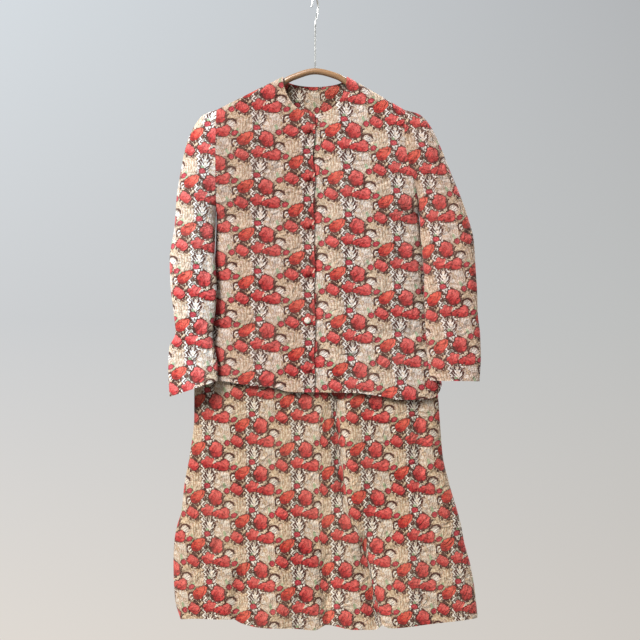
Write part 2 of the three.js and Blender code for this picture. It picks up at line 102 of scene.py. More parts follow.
# x, z
DRESS_FRONT_HEM = [
    (-291, -1346), (-252, -1342), (-175, -1342), (-160, -1350), (-100, -1360), (-54, -1360),
    (0, -1364), (25, -1353), (47, -1356), (81, -1363), (132, -1363), (143, -1354), (160, -1360),
    (244, -1352), (352, -1343),
]
DRESS_BACK_HEM = [(-291, -1346), (-150, -1348), (0, -1354), (180, -1349), (352, -1343)]
JACKET_FRONT_HEM = [
    (-267, -838), (-206, -830), (-150, -838), (-87, -844), (-52, -853), (82, -855), (138, -862),
    (180, -870), (211, -870), (250, -867), (266, -855), (274, -838),
]
JACKET_BACK_HEM = [(-267, -838), (-120, -846), (20, -849), (150, -846), (274, -838)]

# Folds: from x, z to x, z, half the width, how far it sinks
DRESS_FRONT_FOLDS = [
    (41, -800, 66, -1107, 15, 8), (72, -820, 96, -1150, 18, -4), (101, -1150, 143, -1370, 15, 9),
    (221, -860, 226, -1050, 14, 6), (226, -1040, 281, -1090, 10, 5), (-160, -1220, -166, -1370, 16, 7),
    (22, -1190, 26, -1370, 16, 8), (-70, -1100, -80, -1370, 34, -6), (190, -1130, 215, -1370, 30, -6),
    (-196, -1174, -243, -1208, 11, 4),
]
DRESS_BACK_FOLDS = [
    (-60, -820, -84, -1360, 26, 7), (96, -900, 122, -1360, 26, 8), (-190, -1000, -214, -1360, 24, 6),
    (20, -1120, 22, -1360, 26, -6),
]
JACKET_FRONT_FOLDS = [
    (-206, -300, -168, -392, 12, 3), (-208, -492, -140, -628, 14, 3), (-205, -713, -120, -716, 12, 3),
    (130, -722, 236, -735, 12, 3), (40, -480, 52, -820, 30, -3),
]
JACKET_BACK_FOLDS = [(-90, -480, -120, -850, 26, 3), (96, -470, 130, -850, 26, 3)]

# Creases that only the cloth has, in the same columns
DRESS_FRONT_CREASES = [
    (41, -850, 47, -985, 5, 3.2), (47, -975, 68, -1105, 4.5, 3.6), (62, -900, 84, -1080, 6, -2.0),
    (101, -1150, 104, -1300, 5, 3.0), (104, -1290, 140, -1362, 5, 3.6), (222, -870, 226, -1035, 5, 2.6),
    (248, -1044, 284, -1088, 4, 4.2), (232, -1030, 262, -1052, 6, -2.2), (-198, -1172, -246, -1210, 4, 3.0),
    (-168, -1240, -170, -1352, 6, 2.6), (22, -1230, 26, -1362, 5, 3.0), (228, -1144, 244, -1184, 5, -2.4),
    (-120, -880, -150, -1010, 7, 1.6), (-30, -900, -46, -1090, 8, 1.4), (150, -900, 168, -1100, 8, 1.5),
    (-210, -930, -238, -1120, 8, 1.6), (-90, -1010, -60, -1050, 5, 1.4), (-20, -1120, 20, -1160, 5, 1.5),
    (160, -1180, 200, -1215, 6, 1.5), (-236, -1240, -196, -1262, 6, 1.4), (280, -1210, 318, -1190, 6, 1.5),
]
# Cloth swallowed by the sharpest folds: width, then z, x and how much down each
DRESS_FRONT_TAKES = [
    (8, [(-780, 18, 11), (-1150, 12, 11), (-1370, 12, 8)]),
    (5, [(-780, 38, 26), (-1107, 66, 26), (-1170, 104, 26), (-1370, 143, 24)]),
]
DRESS_BACK_CREASES = [
    (-60, -860, -76, -1150, 6, 2.4), (96, -930, 110, -1240, 6, 2.6), (-192, -1020, -206, -1290, 6, 2.2),
    (200, -880, 222, -1180, 7, 1.8), (-140, -900, -160, -1100, 6, -1.8), (30, -980, 10, -1200, 6, 1.6),
    (-230, -1190, -180, -1230, 5, 1.8), (150, -1100, 210, -1150, 5, 2.0), (-30, -1250, 40, -1290, 5, 1.6),
]
JACKET_FRONT_CREASES = [
    (-208, -301, -166, -392, 6, 4.4), (-194, -296, -146, -356, 5, -2.6), (-208, -495, -136, -624, 6, 3.4),
    (-176, -560, -104, -644, 5, 2.4), (-218, -714, -178, -714, 4, 3.4), (-182, -700, -114, -724, 5, 2.8),
    (130, -731, 182, -736, 4, 2.8), (176, -744, 236, -724, 4, 3.2), (-150, -660, -60, -672, 5, 2.0),
    (60, -650, 150, -668, 5, 2.2), (-108, -760, -40, -742, 5, 2.0), (24, -770, 96, -780, 5, 2.2),
    (188, -560, 140, -660, 6, 2.4), (206, -470, 170, -590, 6, 2.6), (60, -330, 130, -420, 7, 2.0),
    (-60, -340, -110, -430, 7, 1.8), (-100, -690, -84, -800, 6, 2.0), (210, -790, 226, -850, 5, 2.2),
    (-240, -770, -226, -826, 5, 2.4), (110, -800, 118, -852, 6, 2.2), (40, -560, 74, -590, 5, 1.8),
    (-216, -390, -178, -470, 5, 2.6), (-150, -440, -96, -470, 6, 1.8), (96, -300, 190, -352, 7, 2.0),
    (150, -440, 196, -420, 5, 2.0), (-90, -560, -40, -600, 6, 1.6), (84, -700, 120, -760, 5, 1.8),
]
JACKET_BACK_CREASES = [
    (-90, -500, -112, -800, 6, 1.8), (96, -490, 124, -800, 6, 1.8), (-190, -520, -120, -650, 6, 1.8),
    (200, -520, 130, -650, 6, 1.8), (-200, -710, -110, -724, 5, 1.8), (120, -716, 220, -730, 5, 1.8),
    (-40, -690, 40, -700, 6, 1.2), (-196, -300, -150, -400, 6, 1.6), (176, -300, 130, -400, 6, 1.6),
    (0, -260, 0, -420, 10, 1.0), (-60, -760, -40, -836, 6, 1.4), (50, -770, 66, -840, 6, 1.4),
]

# Sleeves: outer x, z, inner x, z, how far forward, half the depth
RIGHT_SLEEVE_RINGS = [
    (-240, -254, -215.4, -476, 1, 25), (-263, -284, -215.4, -480, 3, 25), (-279, -324, -215.4, -488, 5, 24),
    (-290, -381, -215.6, -502, 8, 22), (-298, -432, -216, -523, 11, 21), (-302, -495, -217, -556, 15, 19),
    (-312, -566, -214, -596, 21, 17), (-310, -624, -212, -639, 26, 15), (-303, -682, -215, -682, 28, 15),
    (-299, -727, -221, -727, 30, 14), (-312, -759, -215, -763, 32, 14), (-314, -802, -209, -802, 34, 13),
    (-311, -863, -209, -829, 36, 14),
]
LEFT_SLEEVE_RINGS = [
    (226, -254, 226.9, -476, 1, 25), (250, -281, 227.2, -480, 3, 25), (271, -325, 227.4, -487, 5, 24),
    (290, -374, 227.6, -498, 8, 22), (312, -428, 228.2, -515, 10, 21), (329, -477, 230.6, -540, 13, 20),
    (342, -529, 233.5, -574, 16, 19), (345, -583, 235.6, -613, 20, 18), (348, -636, 235.6, -656, 24, 17),
    (349, -682, 237, -695, 27, 16), (354, -731, 239, -738, 30, 15), (355, -776, 242, -776, 33, 14),
    (352, -830, 247, -828, 35, 14),
]
RIGHT_SLEEVE_CREASES = [
    (-248, -272, -212, -286, 5, 2.4), (-230, -700, -268, -752, 6, 3.4), (-268, -745, -248, -812, 6, 3.2),
    (-300, -710, -262, -738, 6, 3.0), (-296, -560, -250, -640, 7, 2.0), (-240, -470, -232, -620, 8, 1.8),
    (-270, -330, -252, -470, 8, 1.6), (-290, -420, -262, -500, 7, 1.6), (-284, -640, -238, -690, 6, 2.2),
    (-296, -770, -288, -840, 5, 2.4), (-226, -760, -222, -812, 5, 2.0), (-262, -300, -226, -330, 6, 1.6),
]
LEFT_SLEEVE_CREASES = [
    (200, -312, 238, -318, 4, 3.4), (208, -262, 236, -300, 4, 2.6), (222, -258, 246, -286, 4, 2.4),
    (236, -330, 262, -470, 6, 3.0), (262, -330, 300, -470, 7, 2.4), (250, -480, 268, -640, 7, 2.6),
    (290, -480, 304, -640, 8, 2.0), (322, -540, 330, -700, 6, 1.8), (262, -640, 270, -800, 7, 2.2),
    (310, -660, 318, -800, 7, 2.0), (244, -560, 280, -600, 5, 1.8), (290, -700, 346, -716, 5, 1.8),
    (246, -690, 292, -704, 5, 2.0), (280, -770, 344, -760, 5, 1.8),
]


# A smooth curve through a table that never overshoots its rows
def through(xs, ys):
    xs = np.asarray(xs, float)
    ys = np.asarray(ys, float)
    if xs[0] > xs[-1]:
        xs, ys = xs[::-1], ys[::-1]
    step = np.diff(xs)
    rise = np.diff(ys, axis=0) / (step if ys.ndim == 1 else step[:, None])
    slope = np.zeros_like(ys)
    product = rise[:-1] * rise[1:]
    total = rise[:-1] + rise[1:]
    safe = np.where(product > 0, total, 1)
    slope[1:-1] = np.where(product > 0, 2 * product / safe, 0)
    slope[0], slope[-1] = rise[0], rise[-1]

    def at(value):
        value = np.asarray(value, float)
        i = np.clip(np.searchsorted(xs, value) - 1, 0, len(step) - 1)
        h = step[i]
        t = np.clip((value - xs[i]) / h, 0, 1)
        if ys.ndim > 1:
            h, t = h[..., None], t[..., None]
        a = ys[i] * (1 + 2 * t) * (1 - t) ** 2 + h * slope[i] * t * (1 - t) ** 2
        b = ys[i + 1] * t * t * (3 - 2 * t) + h * slope[i + 1] * t * t * (t - 1)
        return a + b
    return at


def smoothstep(t, low=0.0, high=1.0):
    t = np.clip((t - low) / (high - low), 0, 1)
    return t * t * (3 - 2 * t)


def cosine_step(t):
    return (1 - np.cos(np.pi * t)) / 2


# How far folds sink the cloth; wander bends each one off its straight line
def sink(folds, x, z, wander=0.0):
    total = np.zeros(np.broadcast(x, z).shape)
    for number, (x0, z0, x1, z1, half, deep) in enumerate(folds):
        length = math.hypot(x1 - x0, z1 - z0)
        t = ((x - x0) * (x1 - x0) + (z - z0) * (z1 - z0)) / length ** 2
        off = ((x - x0) * (z1 - z0) - (z - z0) * (x1 - x0)) / length
        off = off + wander * np.sin(5.1 * t + 2.3 * number) + 0.5 * wander * np.sin(11.7 * t + number)
        fade = smoothstep(np.minimum(t, 1 - t), -0.02, 0.18)
        total += deep * fade * np.exp(-((off / half) ** 2))
    return total


# Small crumples: short creases at mixed angles, the same on every run
def crumples(seed, box, count, reach, depth):
    rng = np.random.default_rng(seed)
    rows = []
    for _ in range(count):
        x = rng.uniform(box[0], box[1])
        z = rng.uniform(box[2], box[3])
        angle = rng.uniform(0, math.pi)
        length = rng.uniform(0.4, 1.0) * reach
        half = rng.uniform(2.6, 6.5)
        deep = rng.choice([-1, 1]) * rng.uniform(0.35, 1.0) * depth
        dx = length * math.cos(angle) / 2
        dz = length * math.sin(angle) / 2
        rows.append((x - dx, z - dz, x + dx, z + dz, half, deep))
    return rows


class Body:
    def __init__(self, sections, lower, roll, underarm, armhole_depth, side_hem):
        z = [row[0] for row in sections]
        self.left = through(z, [row[1] for row in sections])
        self.right = through(z, [row[2] for row in sections])
        self.depth = through(z, [row[3] for row in sections])
        self.left_tip = sections[0][1]
        self.right_tip = sections[0][2]
        self.lower = lower
        self.roll = roll
        self.underarm = underarm
        self.armhole_depth = armhole_depth
        self.side_hem = side_hem

    def shoulder(self, x):
        tip = np.where(x < 0, -self.left_tip, self.right_tip)
        t = np.clip((np.abs(x) - NECK_HALF) / (tip - NECK_HALF), 0, 1)
        return NECK_TOP + (SHOULDER_TIP - NECK_TOP) * t - self.lower

    def top(self, x, front):
        drop = NECK_FRONT_DROP if front else NECK_BACK_DROP
        curve = NECK_TOP - self.lower - drop * np.sqrt(np.clip(1 - (x / NECK_HALF) ** 2, 0, 1))
        return np.where(np.abs(x) >= NECK_HALF, self.shoulder(x), curve)

    def armhole(self, z):
        tip = SHOULDER_TIP - self.lower
        t = np.clip((tip - z) / (tip - self.underarm), 0, 1)
        return self.armhole_depth * 2 * np.sqrt(t * (1 - t))

    def place(self, x, z, front, sunk=0.0):
        middle = (self.left(z) + self.right(z)) / 2
        half = (self.right(z) - self.left(z)) / 2
        side = np.clip(np.abs(x - middle) / half, 0, 1)
        rounding = np.sqrt(1 - side ** SIDE_ROUNDING)
        below = np.clip((self.shoulder(x) - z) / self.roll, 0, 1)
        rolled = np.sqrt(1 - (1 - below) ** 2)
        edge = np.minimum(self.armhole(z), self.depth(z))
        flat = edge + (self.depth(z) - edge) * rounding
        out = rolled * flat - rounding * sunk + SEAM_GAP / 2
        return np.stack([x, -out if front else out, z], axis=-1)

    def rows(self, spacing):
        tip = SHOULDER_TIP - self.lower
        height = tip - self.side_hem
        roll = self.roll / height
        underarm = (tip - self.underarm) / height
        over = roll * (1 - np.cos(np.pi / 2 * np.arange(ROLL_ROWS) / ROLL_ROWS))
        count = int((underarm - roll) * height / spacing) + MORE_ARM_ROWS
        arm = roll + (underarm - roll) * cosine_step(np.arange(count) / count)
        lower = int((1 - underarm) * height / spacing) + 1
        rest = underarm + (1 - underarm) * np.arange(lower + 1) / lower
        self.underarm_row = ROLL_ROWS + count
        return np.concatenate([over, arm, rest])


dress = Body(DRESS_SECTIONS, LAYER_STEP, JACKET_ROLL - LAYER_STEP, DRESS_UNDERARM, DRESS_ARMHOLE_DEPTH,
             DRESS_FRONT_HEM[0][1])
jacket = Body(JACKET_SECTIONS, 0, JACKET_ROLL, JACKET_UNDERARM, JACKET_ARMHOLE_DEPTH, JACKET_SIDE_HEM)


# Places along a shoulder and round the neck to the middle, from the tip inwards
def shoulder_stops(tip, cells, steps):
    side = math.copysign(1, tip)
    shoulder = tip + (side * NECK_HALF - tip) * np.arange(cells) / cells
    angles = 90 * (np.arange(steps + 1) / steps) ** CROWDING
    return np.concatenate([shoulder, side * NECK_HALF * np.cos(np.radians(angles))])


def whole_stops(body, cells, steps):
    left = shoulder_stops(body.left_tip, cells, steps)
    right = shoulder_stops(body.right_tip, cells, steps)[:-1]
    return np.concatenate([left, right[::-1]])


# A panel's middle surface as grid[column, row], left to right as seen from the front, between two
# upright edges, start and end
def panel_grid(body, front, hem, folds, creases, stops, spacing, ease,
               inset=None, wave=None, start=None, end=None):
    start, end = start or body.left, end or body.right
    rows = body.rows(spacing)
    hem_z = through([row[0] for row in hem], [row[1] for row in hem])
    t = np.arange(len(stops)) / (len(stops) - 1)
    top_share = ((stops - stops[0]) / (stops[-1] - stops[0]))[:, None]
    hem_share = ease(t)[:, None]
    hem_x = start(body.side_hem) + (end(body.side_hem) - start(body.side_hem)) * hem_share
    top = body.top(stops, front)[:, None]
    z = top + (hem_z(hem_x) - top) * rows[None, :]
    share = top_share + (hem_share - top_share) * smoothstep(rows, 0, SPREAD_BY)[None, :]
    x = start(z) + (end(z) - start(z)) * share
    if wave is not None:
        x = x + wave(t[:, None], z)
    quiet = smoothstep((body.shoulder(x) - z), 8, 70)
    sunk = sink(folds, x, z) + quiet * sink(creases, x, z, wander=3.0)
    if inset is not None:
        sunk = sunk + inset(x)
    return body.place(x, z, front, sunk)


# Cloth that a sharp fold takes up, added to the distance across
def taken(folds, x, z):
    total = np.zeros(x.shape)
    for width, rows in folds:
        heights = [row[0] for row in rows]
        line = np.interp(-z, [-h for h in heights], [row[1] for row in rows])
        take = np.interp(-z, [-h for h in heights], [row[2] for row in rows])
        total += take * smoothstep((x - line) / width, -1, 1)
    return total


# Distances across and down the cloth at each point of a grid, in metres
def cloth_uv(grid, axis, start):
    axis = np.asarray(axis, float) / np.linalg.norm(axis)
    step = np.diff(grid, axis=0)
    step = step - (step @ axis)[..., None] * axis
    across = np.concatenate([np.zeros((1, grid.shape[1])), np.cumsum(np.linalg.norm(step, axis=-1), axis=0)])
    across = across - across[start]
    down = grid @ axis
    return np.stack([across * MM, down * MM], axis=-1)


def beside(count, step):
    return np.clip(np.arange(count) + step, 0, count - 1)


# A closed wall round a grid of middle points, with the print's coordinates on both faces
def cloth_wall(name, grid, uv, closed=False, flip=False, keep_off=()):
    if flip:
        grid, uv = grid[::-1], uv[::-1]
    columns, rows = grid.shape[:2]
    if closed:
        before, after = np.roll(grid, 1, axis=0), np.roll(grid, -1, axis=0)
    else:
        before, after = grid[beside(columns, -1)], grid[beside(columns, 1)]
    up, below = grid[:, beside(rows, -1)], grid[:, beside(rows, 1)]
    out = np.cross(below - up, after - before)
    out /= np.maximum(np.linalg.norm(out, axis=-1, keepdims=True), 1e-9)
    for mask, direction in keep_off:
        out[mask, direction] = 0
    out /= np.maximum(np.linalg.norm(out, axis=-1, keepdims=True), 1e-9)
    outer = grid + out * WALL / 2
    inner = grid - out * WALL / 2
    points = np.stack([outer, inner], axis=2).reshape(-1, 3) * MM
    index = np.arange(columns * rows).reshape(columns, rows) * 2
    if closed:
        index = np.concatenate([index, index[:1]])
    a, b, c, d = index[:-1, :-1], index[:-1, 1:], index[1:, 1:], index[1:, :-1]
    faces = [np.stack([a, b, c, d], -1).reshape(-1, 4), np.stack([a, d, c, b], -1).reshape(-1, 4) + 1]
    top, bottom = index[:, 0], index[:, -1]
    rims = [(top[:-1], top[1:]), (bottom[1:], bottom[:-1])]
    if not closed:
        first, last = index[0], index[-1]
        rims += [(first[1:], first[:-1]), (last[:-1], last[1:])]
    faces += [np.stack([a, b, b + 1, a + 1], -1) for a, b in rims]
    faces = np.concatenate(faces)
    loops = np.repeat(uv.reshape(-1, 2), 2, axis=0)[faces.reshape(-1)]
    return make_mesh(name, points, faces, loops)


def make_mesh(name, points, faces, loops=None):
    mesh = bpy.data.meshes.new(name)
    mesh.from_pydata(points.tolist(), [], faces.tolist() if hasattr(faces, "tolist") else faces)
    if loops is not None:
        layer = mesh.uv_layers.new(name="cloth")
        layer.data.foreach_set("uv", np.asarray(loops, np.float32).reshape(-1))
    mesh.polygons.foreach_set("use_smooth", np.ones(len(mesh.polygons), bool))
    mesh.set_sharp_from_angle(angle=math.radians(SHARP_ANGLE))
    mesh.update()
    piece = bpy.data.objects.new(name, mesh)
    bpy.context.scene.collection.objects.link(piece)
    return piece


# Where a wall is kept off its neighbour: along shoulders and sides, and round an armhole
def seam_rule(body, grid, first_side, last_side, sleeve):
    columns, rows = grid.shape[:2]
    shoulder = np.zeros((columns, rows), bool)
    shoulder[:, 0] = True
    arm = np.zeros((columns, rows), bool)
    for column, used in ((0, first_side), (columns - 1, last_side)):
        if used:
            shoulder[column, body.underarm_row:] = True
            arm[column, :body.underarm_row] = sleeve
    return [(shoulder, 1), (arm, 0)]


def crowd_ends(t):
    return 0.4 * t + 0.6 * cosine_step(t)


# Numbers in a node tree, so that a shader can be written as a sum
class Val:
    def __init__(self, tree, socket):
        self.tree = tree
        self.socket = socket

    def op(self, kind, *others, clamp=False):
        node = self.tree.nodes.new("ShaderNodeMath")
        node.operation = kind
        node.use_clamp = clamp
        for i, value in enumerate((self, *others)):
            if isinstance(value, Val):
                self.tree.links.new(value.socket, node.inputs[i])
            else:
                node.inputs[i].default_value = value
        return Val(self.tree, node.outputs[0])

    def __add__(self, other):
        return self.op("ADD", other)

    def __sub__(self, other):
        return self.op("SUBTRACT", other)

    def __mul__(self, other):
        return self.op("MULTIPLY", other)

    def __truediv__(self, other):
        return self.op("DIVIDE", other)

    __radd__ = __add__
    __rmul__ = __mul__

    def below(self, edge, soft):
        # 1 where this is under the edge, 0 above it, and a short slope between
        return self.ramp(-1 / soft, edge / soft + 0.5)

    def ramp(self, slope, shift):
        return self.op("MULTIPLY_ADD", slope, shift, clamp=True)

    def abs(self):
        return self.op("ABSOLUTE")


class Shader:
    def __init__(self, name):
        self.material = bpy.data.materials.new(name)
        self.material.use_nodes = True
        self.tree = self.material.node_tree
        self.nodes = self.tree.nodes
        self.bsdf = self.nodes["Principled BSDF"]

    def node(self, kind, **settings):
        made = self.nodes.new(kind)
        for key, value in settings.items():
            setattr(made, key, value)
        return made

    def link(self, a, b):
        self.tree.links.new(a.socket if isinstance(a, Val) else a, b)

    def put(self, value, socket):
        if isinstance(value, (Val, bpy.types.NodeSocket)):
            self.link(value, socket)
        else:
            socket.default_value = value

    def feed(self, name, value):
        self.link(value, self.bsdf.inputs[name])

    def set(self, name, value):
        self.bsdf.inputs[name].default_value = value

    def value(self, socket):
        return Val(self.tree, socket)

    def fac(self, made):
        return self.value(made.outputs["Fac"])

    def noise(self, vector, scale, detail=2.0, rough=0.5, distortion=0.0):
        made = self.node("ShaderNodeTexNoise")
        made.inputs["Scale"].default_value = scale
        made.inputs["Detail"].default_value = detail
        made.inputs["Roughness"].default_value = rough
        made.inputs["Distortion"].default_value = distortion
        self.link(vector, made.inputs["Vector"])
        return made

    def channels(self, made):
        split = self.node("ShaderNodeSeparateColor")
        self.link(made.outputs["Color"], split.inputs[0])
        return [self.value(socket) for socket in split.outputs]

    def mix(self, factor, a, b, blend="MIX"):
        made = self.node("ShaderNodeMix", data_type="RGBA", blend_type=blend)
        for value, socket in ((factor, made.inputs[0]), (a, made.inputs[6]), (b, made.inputs[7])):
            self.put(value, socket)
        return made.outputs[2]

    def vector(self, x, y, z=0.0):
        made = self.node("ShaderNodeCombineXYZ")
        for value, socket in zip((x, y, z), made.inputs):
            self.put(value, socket)
        return made.outputs[0]

    def bump(self, height, strength, distance, normal=None):
        made = self.node("ShaderNodeBump")
        made.inputs["Strength"].default_value = strength
        made.inputs["Distance"].default_value = distance
        self.link(height, made.inputs["Height"])
        if normal is not None:
            self.link(normal, made.inputs["Normal"])
        return made.outputs["Normal"]


def colour(red, green, blue):
    def linear(c):
        c /= 255
        return c / 12.92 if c <= 0.04045 else ((c + 0.055) / 1.055) ** 2.4
    return (linear(red), linear(green), linear(blue), 1)


# Dyes are deeper than they look, because the lamps are bright
DEPTH = 0.34


def dye(red, green, blue):
    r, g, b, a = colour(red, green, blue)
    return (r * DEPTH, g * DEPTH, b * DEPTH, a)


CORAL = dye(210, 54, 52)
CORAL_LIGHT = dye(242, 108, 98)
ORANGE = dye(216, 58, 44)
ORANGE_LIGHT = dye(240, 104, 80)
LINE = dye(118, 18, 22)
MAGENTA = dye(186, 50, 66)
CREAM = dye(242, 218, 184)
TAN = dye(208, 172, 132)
PINKISH = dye(226, 186, 170)
WHITE = dye(252, 240, 222)
BROWN = dye(112, 56, 36)
DEEP = dye(86, 42, 30)
GREEN = dye(160, 182, 136)

# The print: one unit in millimetres, columns side by side and each dropped by half
UNIT_WIDE = 97.0
UNIT_HIGH = 103.0
# Threads of the weave, in radians a metre
THREADS = 7000.0

# Blossoms: group, right, down, half width, half height, tilt in degrees, petals, how deep they cut, dyes
BLOSSOMS = [
    ("a", -22, -30, 18, 11, 40, 3, 0.07, ORANGE, ORANGE_LIGHT),
    ("a", 0, 0, 13, 12, 20, 5, 0.12, CORAL, CORAL_LIGHT),
    ("a", 18, -28, 13.5, 16.5, 10, 5, 0.09, CORAL, CORAL_LIGHT),
    ("b", 31, 6, 18, 11, 6, 3, 0.17, CORAL, CORAL_LIGHT),
    ("c", -34, 5, 14, 10.5, -40, 4, 0.10, CORAL, CORAL_LIGHT),
]
# Buds: group, right, down, half width, half height, tilt
BUDS = [("b", 57, 10, 6.4, 4.6, 30), ("c", -55, 9, 5.4, 6.0, 0), ("c", -1, 50, 6.6, 5.4, 0)]
# Small leaves, in the same columns
LEAF_SPOTS = [
    ("b", 66, 15, 4.5, 4, 0), ("b", 62, 4, 3, 5, 0), ("c", -60, -2, 3.4, 6, 20), ("c", -1, 41, 3, 3.6, 0),
]


def draw_print():
    s = Shader("print_pattern")
    knobs = {}
    for knob in ("right", "down", "unit_wide"):
        made = s.node("ShaderNodeValue", name=knob)
        knobs[knob] = s.value(made.outputs[0])
    unit_wide = knobs["unit_wide"]
    tone = s.node("ShaderNodeRGB", name="tone")
    uv = s.node("ShaderNodeUVMap", uv_map="cloth")
    split = s.node("ShaderNodeSeparateXYZ")
    s.link(uv.outputs[0], split.inputs[0])
    across, along, _ = map(s.value, split.outputs)
    u = across * 1000.0 - knobs["right"]
    v = along * 1000.0 - knobs["down"]

    # Place inside the unit whose middle lies at (right, down), the same in every unit
    def inside(at_right, at_down, wobble):
        a = u - at_right
        b = v - at_down
        column = (a / unit_wide).op("ROUND")
        x = (a / unit_wide - column) * UNIT_WIDE
        b = b + column * (UNIT_HIGH / 2)
        y = b - (b * (1 / UNIT_HIGH)).op("ROUND") * UNIT_HIGH
        grain = s.noise(s.vector(x, y), 0.24, 1.0)
        wave = s.channels(grain)
        x = x + (wave[0] - 0.5) * wobble + at_right
        y = y + (wave[1] - 0.5) * wobble + at_down
        return x, y

    def oval(x, y, at, half, tilt):
        cos, sin = math.cos(math.radians(tilt)), math.sin(math.radians(tilt))
        dx, dy = x - at[0], y - at[1]
        p = (dx * (cos / half[0])) + (dy * (-sin / half[0]))
        q = (dx * (sin / half[1])) + (dy * (cos / half[1]))
        return p, q, (p * p + q * q).op("SQRT")

    groups = {"a": inside(0, 0, 5.0), "b": inside(26, -2, 5.0), "c": inside(-15, 21, 5.0)}
    x, y = groups["a"]

    # Ground: leaf cloth all over
    mottle = s.noise(s.vector(x * 0.30, y * 0.16, 7.0), 1.0, 3.0, 0.6, 0.8)
    grain = s.fac(mottle)
    ground = s.mix(grain.ramp(6.0, -2.6), TAN, CREAM)
    ground = s.mix(grain.below(0.38, 0.06) * 0.5, ground, BROWN)

    # Jagged cloth of dark leaves and pale slips, in a column down the middle and behind the blossoms
    ragged = s.noise(s.vector(x * 0.14, y * 0.10, 5.3), 1.0, 3.0, 0.66, 1.5)
    rag = s.fac(ragged)
    tint = s.channels(ragged)
    stems = s.mix(rag.ramp(20.0, -9.6), DEEP, WHITE)
    stems = s.mix(tint[1].ramp(14.0, -8.4) * 0.8, stems, GREEN)
    stems = s.mix(tint[2].ramp(14.0, -8.0) * 0.8, stems, BROWN)
    side = (x - 2.0).abs()
    near = (side + rag * 14.0).below(20.0, 3.0)
    ground = s.mix(near, ground, stems)
    leaves = s.mix(rag.ramp(20.0, -10.4), DEEP, CREAM)
    for group, dx, dy, wide, high, tilt, *_ in BLOSSOMS:
        _, _, r = oval(*groups[group], (dx + 1, dy + 2), (wide + 5, high + 5), tilt)
        ground = s.mix((r + rag * 1.3).below(1.66, 0.08), ground, leaves)

    # Thorny stems: pale, dark at both edges, one each side of the column
    for number, at in enumerate((-11.0, 14.0)):
        thorn = ((y * 0.094 + 0.37 * number + rag * 0.5).op("FRACT") - 0.5).abs() * 12.0
        line = (x - at + thorn - 3.0).abs()
        ground = s.mix(line.below(5.0, 1.4) * 0.9, ground, DEEP)
        ground = s.mix(line.below(2.0, 0.9), ground, WHITE)

    # Two ragged fan leaves, with faint lines that run out from the foot
    def fan(ground, at, half, foot, light, number):
        fx, fy = inside(at[0], at[1], 6.0)
        _, q, r = oval(fx, fy, at, half, 0)
        rx, ry = fx - foot[0], (fy - foot[1]) * -1.0
        angle = rx.op("ARCTAN2", ry)
        reach = (rx * rx + ry * ry).op("SQRT")
        leaf = s.noise(s.vector(angle * 9.0, reach * 0.11, 3.0 * number), 1.0, 3.0, 0.6, 1.0)
        speck = s.fac(leaf)
        saw = (angle * 3.6 + reach * 0.04).op("FRACT")
        edge = r + saw * 0.34 + speck * 0.9
        rib = (angle * 7.0 + speck * 2.2 + reach * 0.03).op("FRACT") - 0.5
        body = s.mix(speck.ramp(5.0, -2.0), TAN, light)
        body = s.mix(rib.abs().below(0.13, 0.10) * 0.5, body, BROWN)
        body = s.mix(rib.ramp(7.0, -1.9) * 0.7, body, WHITE)
        hue = s.channels(leaf)
        body = s.mix(hue[1].ramp(12.0, -6.7) * 0.5, body, PINKISH)
        body = s.mix(hue[2].ramp(16.0, -10.2) * 0.6, body, GREEN)
        body = s.mix(q.ramp(0.9, -0.1) * 0.6, body, TAN)
        ground = s.mix(edge.below(1.72, 0.05) * 0.7, ground, BROWN)
        return s.mix(edge.below(1.63, 0.06), ground, body)

    ground = fan(ground, (34, 40), (20, 25), (35, 70), WHITE, 1.0)
    ground = fan(ground, (-33, 47), (21, 24), (-33, 78), CREAM, 2.0)

    # A pale spiky tuft, its spikes rising outward, the middle one tallest
    x, y = groups["c"]
    tx = (x - 4.0).abs()
    level = (y - 31.0) * (1 / 19.0)
    jitter = rag * 5.0
    saw = (y * 0.10 + tx * 0.08 + rag * 0.5).op("FRACT")
    width = (level * level * -1.0 + 1.0).op("MAXIMUM", 0.0) * 11.0
    tall = level.abs().below(1.0, 0.1)
    behind = (tx + saw * 6.0 + jitter - width).below(6.5, 1.0) * level.abs().below(1.15, 0.1)
    tuft = (tx + saw * 10.0 + jitter - width).below(2.8, 0.9) * tall
    ground = s.mix(behind, ground, DEEP)
    ground = s.mix(tuft, ground, WHITE)
    ground = s.mix((tx - saw * 4.0).abs().below(0.9, 0.8) * tuft * 0.6, ground, TAN)

    # A dark curl over a pale frond, right of the round blossom
    x, y = groups["b"]
    ax, ay, r = oval(x, y, (46, -9), (11, 11), 0)
    comb = ((ax * 1.3 + ay * 1.9).op("FRACT") - 0.5).abs()
    frond = (r + comb * 1.5).below(1.15, 0.1) * (ax * 0.7 - ay).ramp(3.0, 1.6)
    curl = (r - 1.05).abs().below(0.2, 0.1) * (ay * -1.0 - ax * 0.2).ramp(6.0, 0.6)
    ground = s.mix(frond, ground, WHITE)
    ground = s.mix(frond * comb.below(0.12, 0.1) * 0.9, ground, BROWN)
    ground = s.mix(curl, ground, DEEP)

    # A dark claw with a pale slip, left of the tilted blossom
    x, y = groups["a"]
    cx, cy, r = oval(x, y, (-40, -20), (8, 9), 0)
    claw = (r - 1.0).abs().below(0.26, 0.1) * (cx * -1.0 - cy * 0.6).ramp(6.0, 0.6)
    slip = ((cx + cy) * 6.0).op("SINE").ramp(3.0, 0.2)
    ground = s.mix(r.below(0.8, 0.2) * slip, ground, WHITE)
    ground = s.mix(claw, ground, DEEP)

